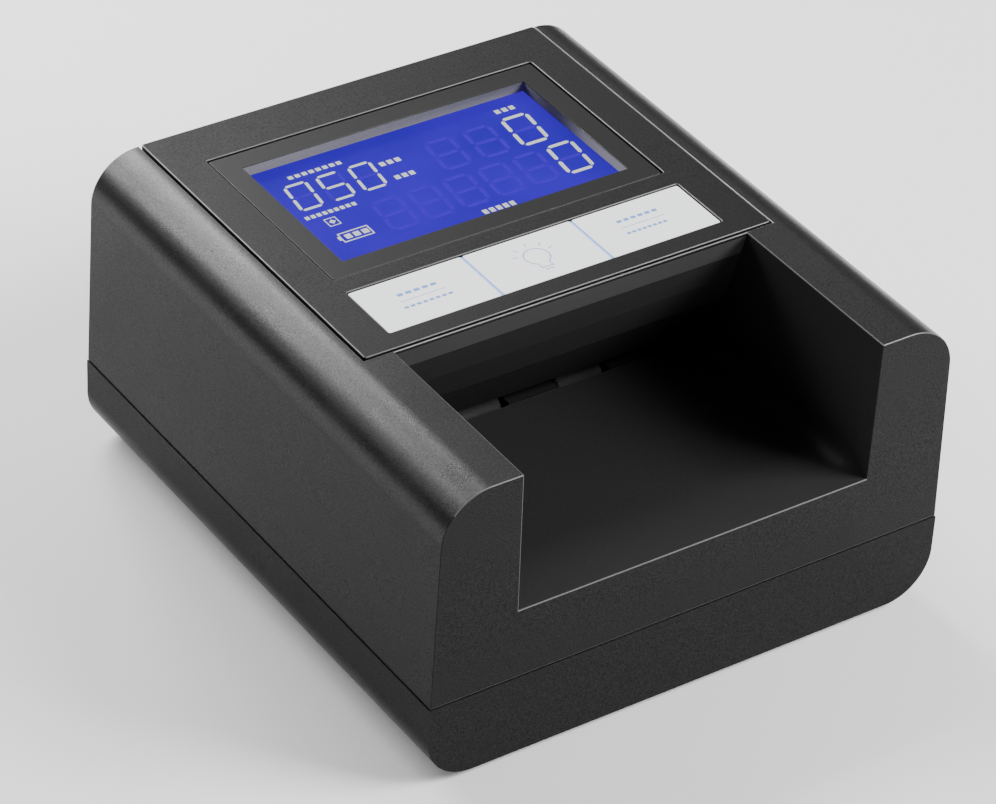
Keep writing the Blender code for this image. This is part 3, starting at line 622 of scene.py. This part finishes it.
def note_recess():
    outline = [
        (FRONT - 10, NOTE_FLOOR),
        (FLOOR_BACK + 5, NOTE_FLOOR),
        (FLOOR_BACK + 5, SLOT_TOP),
        (-15.4, SLOT_TOP),
        (-18.8, 59.5),
        (-19.8, 63.1),
        (-20.6, 66.4),
        (RECESS_BACK, 71.6),
        (RECESS_BACK, TOP + 10),
        (FRONT - 10, TOP + 10),
    ]
    bm = prism(outline, "X", -1.0, 1.0)
    for vert in bm.verts:
        vert.co.x *= RECESS_HALF_FLOOR + RECESS_DRAFT * (vert.co.z - NOTE_FLOOR)
    return bm


def recess_liner():
    outline = [
        (FRONT + 0.9, NOTE_FLOOR - 2.05),
        (FLOOR_BACK, NOTE_FLOOR - 2.05),
        (FLOOR_BACK, NOTE_FLOOR + 1.2),
        (SLOT_FRONT, SLOT_TOP),
        (-16.6, 59.5),
        (-17.6, 63.1),
        (-18.4, 66.4),
        (-18.4, TOP - 1.6),
        (FRONT + 0.9, TOP - 1.6),
    ]
    return prism(outline, "X", -RECESS_WALL, RECESS_WALL)


def floor_fillet(side):
    """The rounded corner between the recess's floor and a wall, which grows in from the front edge."""
    rings = []
    steps = 10
    for step in range(steps + 1):
        y = FRONT + 1.2 + 6.0 * step / steps
        growth = math.sin(math.pi / 2 * step / steps)
        rings.append(fillet_ring(side, y, FILLET_START + (FILLET - FILLET_START) * growth))
    rings.append(fillet_ring(side, SLOT_FRONT, FILLET))
    return stack(rings)


def fillet_ring(side, y, radius):
    wall, floor = RECESS_HALF_FLOOR + 0.2, NOTE_FLOOR - 0.2
    hollow = arc((RECESS_HALF_FLOOR - radius, NOTE_FLOOR + radius), radius, -90, 0, 12)
    drafted = [(x + RECESS_DRAFT * (z - NOTE_FLOOR) + 0.01, z) for x, z in hollow]
    return [(side * x, y, z) for x, z in [(wall, floor), *drafted]]


def paint_recess(obj, inner, brow):
    """Paints shade inside the note recess with a duller, low-gloss finish, and paints light on the brow above
    the slot with a lighter finish of its own.
    """
    obj.data.materials.append(inner)
    obj.data.materials.append(brow)
    for face in obj.data.polygons:
        x, y, z = face.center / MM
        if abs(x) > RECESS_HALF_TOP + 0.05 or not FRONT + 1.0 < y < BACK - 10 or z < NOTE_FLOOR - 1.0:
            continue
        if y < FLOOR_BACK + 0.1 and z < TOP - 0.6:
            # Faces on the brow get the lighter finish: painted light.
            on_brow = z > BROW_LOW and abs(face.normal.x) < 0.5 and y > RECESS_BACK - 0.5
            face.material_index = 2 if on_brow else 1


def make_upper_casing(mats):
    """The upper shell: its arch hollowed, the recess with its liner, screw bosses, pocket and exit slot."""
    outside = casing_block(upper_arch(0, 0, SEAM + SEAM_GAP), FRONT, BACK, FACE_DRAFT)
    shell = linked("casing_upper", outside, mats["casing"])
    inside = casing_block(upper_arch(UPPER_WALL, TOP_WALL, SEAM - 5), FRONT + UPPER_WALL,
                          BACK - UPPER_WALL, FACE_DRAFT)
    pocket = block((-PANEL_HALF - POCKET_GAP, -GAP, -2.0),
                   (PANEL_HALF + POCKET_GAP, PANEL_LENGTH + GAP, 8))
    opening = block((-PANEL_BODY_HALF - GAP, 2.6, -8), (PANEL_BODY_HALF + GAP, 81.4, 8))
    exit_slot = block((-RECESS_HALF_FLOOR, BACK - 6, EXIT_Z[0]), (RECESS_HALF_FLOOR, BACK + 6, EXIT_Z[1]))
    carve(shell, [
        cut(inside),
        joined(recess_liner()),
        *(joined(disc(centre, UPPER_BOSS, SEAM + SEAM_GAP, TOP - 2.5, 24)) for centre in SCREW_PLACES),
        cut(note_recess()),
        *(joined(floor_fillet(side)) for side in (-1, 1)),
        *(cut(disc(centre, SCREW_HOLE, SEAM - 5, 36, 24)) for centre in SCREW_PLACES),
        cut(pocket, deck=True),
        cut(opening, deck=True),
        cut(exit_slot),
    ])
    cleaned(shell)
    # Painted shade inside the note recess, and painted light on the brow.
    paint_recess(shell, mats["inner"], mats["brow"])

    def keeps_highlight(x, y, z):
        """The outer corners and the upright edge of the right arm catch no light, so they get no painted
        highlight.
        """
        outer_corner = abs(x) >= 60 and z <= 68
        right_arm = x > 0 > y and NOTE_FLOOR + 1 < z < 66
        return not outer_corner and not right_arm

    # The rounded edges get a painted highlight, except on the outer corners and the right arm's upright edge.
    unrimmed(edged(shell, EDGE, 2, mats["casing_rim"], clamp=False), keeps_highlight)
    piece(shell, ROOT, "casing", "upper_shell")


def rear_port(span_x, span_z, margin_x, margin_z, front):
    """A hole in the rear wall, larger than its spans by the margins."""
    return cut(block((span_x[0] - margin_x, front, span_z[0] - margin_z),
                     (span_x[1] + margin_x, REAR, span_z[1] + margin_z)))


def make_lower_casing(mats):
    """The tray: its trough hollowed, the tongue at the seam, ribs, posts, and openings for what it holds."""
    low_y, high_y = LOWER_LOW.y, LOWER_HIGH.y
    shell = linked("casing_lower", casing_block(lower_trough(0, 0, SEAM), low_y, high_y, 0), mats["tray"])
    floor = FOOT_PROUD + BASE_WALL
    root = floor - 1
    inside = casing_block(lower_trough(LOWER_WALL, BASE_WALL, SEAM + 5), low_y + LOWER_WALL,
                          high_y - LOWER_WALL, 0)
    tongue_x = UPPER_HALF - UPPER_WALL - TONGUE_GAP
    tongue_y = BACK - UPPER_WALL - TONGUE_GAP
    inner_x, inner_y = tongue_x - TONGUE_WALL, tongue_y - TONGUE_WALL
    x0, y0, x1, y1 = COVER
    tab_x, tab_y = COVER_SCREW
    steps = [
        cut(inside),
        joined(block((-tongue_x, -tongue_y, SEAM - 4), (tongue_x, tongue_y, SEAM + 1.6))),
        cut(block((-inner_x, -inner_y, SEAM - 6), (inner_x, inner_y, SEAM + 6))),
        *(joined(disc(centre, LOWER_BOSS, root, SEAM - 0.4, 32)) for centre in SCREW_PLACES),
        *(joined(block((x - 1.6, y - 3, root), (x + 1.6, y + 3, RIB_TOP))) for x, y in RIB_PLACES),
        *(joined(disc(centre, POST_RADIUS, root, POST_TOP, 24)) for centre in POST_PLACES),
        joined(disc(COVER_SCREW, COVER_BOSS, root, COVER_BOSS_TOP, 24)),
    ]
    for centre in SCREW_PLACES:
        steps.append(cut(disc(centre, HEAD_RADIUS, FOOT_PROUD - 1, HEAD_TOP, 40)))
        steps.append(cut(disc(centre, SCREW_HOLE, 8.0, SEAM + 5, 24)))
    steps += [
        *(cut(disc(centre, FOOT_RADIUS, 0, FOOT_TOP)) for centre in FOOT_PLACES),
        cut(block((x0 - GAP, y0 - GAP, 0), (x1 + GAP, y1 + GAP, 3.0))),
        cut(block((x0 + 1.7, y0 + 1.7, 0), (x1 - 1.7, y1 - 1.7, 8))),
        cut(block((tab_x - 4.3, tab_y - 3.3, 0), (tab_x + 4.3, y0 + 1, 3.0))),
        cut(disc(COVER_SCREW, 1.3, 2, 8.8, 24)),
        rear_port(SWITCH_X, SWITCH_Z, -1.3, -1.0, 60),
        rear_port(SWITCH_X, SWITCH_Z, GAP, GAP, 68.2),
        rear_port(INLET_X, INLET_Z, GAP, GAP, 60),
    ]
    carve(shell, steps)
    cleaned(shell)
    # Painted highlight on the rounded edges near the seam only.
    unrimmed(edged(shell, EDGE, 2, mats["casing_rim"]), lambda x, y, z: z > SEAM - 1)
    piece(shell, ROOT, "casing", "lower_shell")


# ---- deck ----


def window_block(margin, low, high):
    """A block over the display window, larger than it by a margin on each side."""
    return block((-WINDOW_HALF - margin, WINDOW_FRONT - margin, low),
                 (WINDOW_HALF + margin, WINDOW_BACK + margin, high))


def make_panel(mats):
    outline = rounded(-PANEL_HALF, 0, PANEL_HALF, PANEL_LENGTH, 0.6)
    panel = linked("panel_cover", prism(outline, "Z", -1.7, PANEL_RAISE), mats["panel"])
    seat = rounded(-LENS_HALF, LENS_FRONT, LENS_HALF, LENS_BACK, 0.6)
    keys = rounded(-KEY_OUTER - KEY_GAP, KEY_FRONT - KEY_GAP, KEY_OUTER + KEY_GAP, KEY_BACK + KEY_GAP, 0.5)
    carve(panel, [
        joined(block((-PANEL_BODY_HALF, 3.0, -3.1), (PANEL_BODY_HALF, 81.0, -1.0))),
        cut(prism(seat, "Z", -1.3, OVER)),
        cut(window_block(1.6, UNDER, 0)),
        cut(block((-40.4, WINDOW_FRONT - 3.4, UNDER), (40.4, WINDOW_BACK + 3.4, -1.95))),
        cut(prism(keys, "Z", UNDER, OVER)),
    ])
    cleaned(panel)
    # Painted highlight on the panel's rounded edges.
    edged(on_deck(panel), 0.28, 2, mats["rim"])
    piece(panel, ROOT, "panel", "control_panel")


def make_lens(mats):
    """A dark border with a thin lip over the light well of the display, and a clear pane in its window."""
    low = LENS_TOP - LENS_THICK
    outline = rounded(-LENS_HALF + LENS_GAP, LENS_FRONT + LENS_GAP, LENS_HALF - LENS_GAP,
                      LENS_BACK - LENS_GAP, 0.5)
    border = linked("lens_border", prism(outline, "Z", low, LENS_TOP), mats["border"])
    carve(border, [cut(window_block(0, UNDER, OVER)), cut(window_block(1.0, UNDER, LENS_TOP - 0.25))])
    # Painted highlight on the border's rounded edges.
    edged(on_deck(cleaned(border)), 0.1, 2, mats["rim"])
    piece(border, ROOT, "lens", "display_lens")
    inset = 0.02
    pane = rounded(-WINDOW_HALF + inset, WINDOW_FRONT + inset, WINDOW_HALF - inset,
                   WINDOW_BACK - inset, 0.1, 2)
    window = linked("lens_window", prism(pane, "Z", low, LENS_TOP - 0.01), mats["clear"])
    piece(on_deck(window), ROOT, "lens", "display_lens")


def make_well(mats):
    """The light frame between the display glass and the lens border."""
    low = LCD_TOP + 0.15
    well = linked("display_well", window_block(1.3, low, -1.2), mats["frame"])
    carve(well, [joined(window_block(0.95, low, LENS_TOP - 0.28)), cut(window_block(0.0, UNDER, OVER))])
    edged(on_deck(cleaned(well)), 0.05, 1)
    piece(well, ROOT, "frame", "display_frame")


KEY_SPANS = {
    "left": (-KEY_OUTER, -KEY_SPLIT - GAP),
    "middle": (-KEY_SPLIT + GAP, KEY_SPLIT - GAP),
    "right": (KEY_SPLIT + GAP, KEY_OUTER),
}


def make_keys(mats):
    middle = (KEY_FRONT + KEY_BACK) / 2
    for place, (low, high) in KEY_SPANS.items():
        outline = rounded(low, KEY_FRONT, high, KEY_BACK, 0.4)
        cap = linked(f"key_cap_{place}", prism(outline, "Z", KEY_TOP - KEY_THICK, KEY_TOP), mats["key"])
        carve(cap, [joined(disc(((low + high) / 2, middle), 1.5, -7.6, -1.0, 32))])
        edged(on_deck(cleaned(cap)), 0.15, 2)
        piece(cap, f"key_{place}", "key", f"key_{place}")
        legend = linked(f"key_legend_{place}", legend_mesh(place), mats["legend"])
        piece(on_deck(legend), f"key_{place}", "key")


BAR_SHARE = 0.68


def bars(bm, rows, low, high):
    """Adds rows of flat bars: each row is (x0, x1, y, height, count)."""
    for x0, x1, y, height, count in rows:
        pitch = (x1 - x0) / count
        for i in range(count):
            start = x0 + i * pitch
            outline = rectangle(start, y - height / 2, start + pitch * BAR_SHARE, y + height / 2)
            add_slab(bm, outline, low, high)


def add_slab(bm, outline, low, high):
    bottom = [bm.verts.new((*point, low)) for point in outline]
    top = [bm.verts.new((*point, high)) for point in outline]
    for i in range(len(outline)):
        j = (i + 1) % len(outline)
        bm.faces.new((bottom[i], bottom[j], top[j], top[i]))
    bm.faces.new(top)
    bm.faces.new(list(reversed(bottom)))


def add_band(bm, path, width, low, high, closed=False):
    """A flat band of even width along a path of points."""
    count = len(path)
    for i in range(count if closed else count - 1):
        start, end = Vector(path[i]), Vector(path[(i + 1) % count])
        along = (end - start).normalized()
        side = Vector((-along.y, along.x)) * width / 2
        grow = along * width * 0.3
        corners = (start - side - grow, end - side + grow, end + side + grow, start + side - grow)
        add_slab(bm, [tuple(c) for c in corners], low, high)


def legend_mesh(place):
    """Generic marks: rows of dashes on the outer keys, and a lamp on the middle one."""
    bm = bmesh.new()
    low, high = KEY_TOP - 0.2, KEY_TOP + 0.015
    if place == "left":
        bars(bm, ((-33.0, -22.9, 15.7, 0.9, 5), (-34.0, -21.8, 11.2, 0.7, 8)), low, high)
        add_slab(bm, rectangle(-33.5, 13.35, -22.6, 13.5), low, high)
    elif place == "right":
        bars(bm, ((22.0, 32.8, 15.9, 0.9, 6), (21.6, 32.2, 11.3, 0.7, 8)), low, high)
        add_slab(bm, rectangle(21.8, 13.45, 32.6, 13.6), low, high)
    else:
        centre, line = (0.2, 13.6), 0.22
        add_band(bm, arc(centre, 2.9, -60, 240, 30), line, low, high)
        add_band(bm, [(-1.1, 11.0), (-1.1, 9.5), (1.5, 9.5), (1.5, 11.0)], line, low, high)
        add_band(bm, [(-0.8, 8.6), (1.2, 8.6)], line, low, high)
        for angle in (20, 50, 90, 130, 160):
            spot = math.radians(angle)
            ray = [(centre[0] + r * math.cos(spot), centre[1] + r * math.sin(spot)) for r in (4.1, 5.2)]
            add_band(bm, ray, 0.2, low, high)
    return bm


# ---- display ----

ALL_SEGMENTS = "abcdefg"
SEGMENTS = {"0": "abcdef", "5": "afgcd"}
DIGIT_LEAN = 1.1

# Digits are given by the lower left corner and the size of their outline, in the deck's frame.
VALUE = "050"
VALUE_CORNERS = [(-31.3 + 8.0 * index, 55.6) for index in range(len(VALUE))]
VALUE_SIZE = (5.2, 9.4)
VALUE_LINE = 0.75
UPPER_Y, UPPER_SIZE = 54.0, (6.3, 10.8)
LOWER_Y, LOWER_SIZE = 39.9, (6.2, 10.8)
ZEROS = (((24.2, UPPER_Y), UPPER_SIZE), ((26.7, LOWER_Y), LOWER_SIZE))
ZERO_LINE = 0.95
UNLIT = (
    *(((x, UPPER_Y), UPPER_SIZE) for x in (4.2, 14.2)),
    *(((x, LOWER_Y), LOWER_SIZE) for x in (-18.2, -9.2, -0.2, 8.8, 17.8)),
)
UNLIT_LINE = 1.0
CAPTIONS = (
    (-27.5, -13.7, 67.7, 1.2, 8),
    (-32.4, -19.4, 52.6, 1.2, 9),
    (-7.5, -1.7, 62.7, 1.5, 3),
    (-7.3, -1.8, 56.8, 1.5, 3),
    (25.9, 31.5, 68.2, 1.5, 3),
    (1.9, 10.5, 36.3, 1.6, 5),
)
LIT_LAYER = (LCD_TOP + 0.005, LCD_TOP + 0.03)
UNLIT_LAYER = (LCD_TOP + 0.003, LCD_TOP + 0.018)


def add_digit(bm, shown, corner, size, width, layer):
    """A leaning seven-segment digit in lines of one width; shown are its segments by letter."""
    (x, y), (wide, tall) = corner, size
    gap, cut_back, half = width * 0.35, width * 0.5, tall / 2

    def slanted(px, py):
        return (x + px + DIGIT_LEAN * py / tall, y + py)

    def flat(py):
        near, far = gap + cut_back, wide - gap - cut_back
        return [(near, py - cut_back), (far, py - cut_back), (wide - gap, py), (far, py + cut_back),
                (near, py + cut_back), (gap, py)]

    def upright(px, py):
        low, high = py + gap + cut_back, py + half - gap - cut_back
        return [(px, py + gap), (px + cut_back, low), (px + cut_back, high), (px, py + half - gap),
                (px - cut_back, high), (px - cut_back, low)]

    shapes = {"a": flat(tall), "g": flat(half), "d": flat(0), "f": upright(0, half),
              "b": upright(wide, half), "e": upright(0, 0), "c": upright(wide, 0)}
    for name in shown:
        add_slab(bm, [slanted(*point) for point in shapes[name]], *layer)


def add_symbols(bm):
    """A small square mark, and a battery with three full cells."""
    add_band(bm, rectangle(-29.2, 47.6, -26.6, 50.4), 0.22, *LIT_LAYER, closed=True)
    add_slab(bm, [(-27.9, 48.2), (-27.1, 49.0), (-27.9, 49.8), (-28.7, 49.0)], *LIT_LAYER)
    add_band(bm, rectangle(-29.6, 41.1, -22.4, 44.3), 0.3, *LIT_LAYER, closed=True)
    add_slab(bm, rectangle(-30.3, 42.0, -29.75, 43.4), *LIT_LAYER)
    for index in range(3):
        start = -28.6 + 2.1 * index
        add_slab(bm, rectangle(start, 41.9, start + 1.5, 43.5), *LIT_LAYER)


def make_display(mats):
    """Generic read-out: a three-digit value, two zeros, unlit digits, a battery and dashes for captions."""
    lit = bmesh.new()
    for digit, corner in zip(VALUE, VALUE_CORNERS):
        add_digit(lit, SEGMENTS[digit], corner, VALUE_SIZE, VALUE_LINE, LIT_LAYER)
    for corner, size in ZEROS:
        add_digit(lit, SEGMENTS["0"], corner, size, ZERO_LINE, LIT_LAYER)
    bars(lit, CAPTIONS, *LIT_LAYER)
    add_symbols(lit)
    piece(on_deck(linked("display_segments", lit, mats["segment"])), ROOT, "lcd")

    unlit = bmesh.new()
    for digit, corner in zip(VALUE, VALUE_CORNERS):
        shown = sorted(set(ALL_SEGMENTS) - set(SEGMENTS[digit]))
        add_digit(unlit, shown, corner, VALUE_SIZE, VALUE_LINE, UNLIT_LAYER)
    for corner, size in UNLIT:
        add_digit(unlit, ALL_SEGMENTS, corner, size, UNLIT_LINE, UNLIT_LAYER)
    for corner, size in ZEROS:
        add_digit(unlit, "g", corner, size, ZERO_LINE, UNLIT_LAYER)
    piece(on_deck(linked("display_unlit", unlit, mats["ghost"])), ROOT, "lcd")


# ---- power switch ----


def make_rocker_marks(mats):
    """The usual bar and ring for on and off, just proud of the rocker's two faces."""
    turn = Matrix.Rotation(ROCKER_TILT, 4, "X")
    centre = Vector(((SWITCH_X[0] + SWITCH_X[1]) / 2, *ROCKER_PIVOT))
    low, high = -0.05, 0.03
    for name, side in (("on", 1), ("off", -1)):
        bm = bmesh.new()
        if side > 0:
            add_slab(bm, rectangle(-0.16, 0.6, 0.16, 1.9), low, high)
        else:
            add_band(bm, circle((0, 1.25), 0.6, 20), 0.26, low, high, closed=True)
        along = Vector((0, 0.7, 2.5 * side)).normalized()
        out = Vector((0, 2.5, -0.7 * side)).normalized()
        face = Matrix.Translation((0, 2.3, 0)) @ Matrix((Vector((1, 0, 0)), along, out)).transposed().to_4x4()
        bmesh.ops.transform(bm, matrix=Matrix.Translation(centre) @ turn @ face, verts=bm.verts)
        piece(linked(f"rocker_mark_{name}", bm, mats["key"]), "power_rocker", "plastic")


# ---- the frame's own nodes ----


def dress_nodes(mats):
    """Gives each CAD node that stays in view a material, by its slot in the record."""
    slots = {row["node"]: row["material_slot"] for row in frame["record"]["subparts"]}
    for name, obj in frame["nodes"].items():
        obj.data.materials.clear()
        obj.data.materials.append(mats[slots[name]])


def main():
    mats = make_materials()
    make_camera()
    make_lights()
    make_floor()
    dress_nodes(mats)
    make_upper_casing(mats)
    make_lower_casing(mats)
    make_panel(mats)
    make_lens(mats)
    make_well(mats)
    make_keys(mats)
    make_display(mats)
    make_rocker_marks(mats)


main()
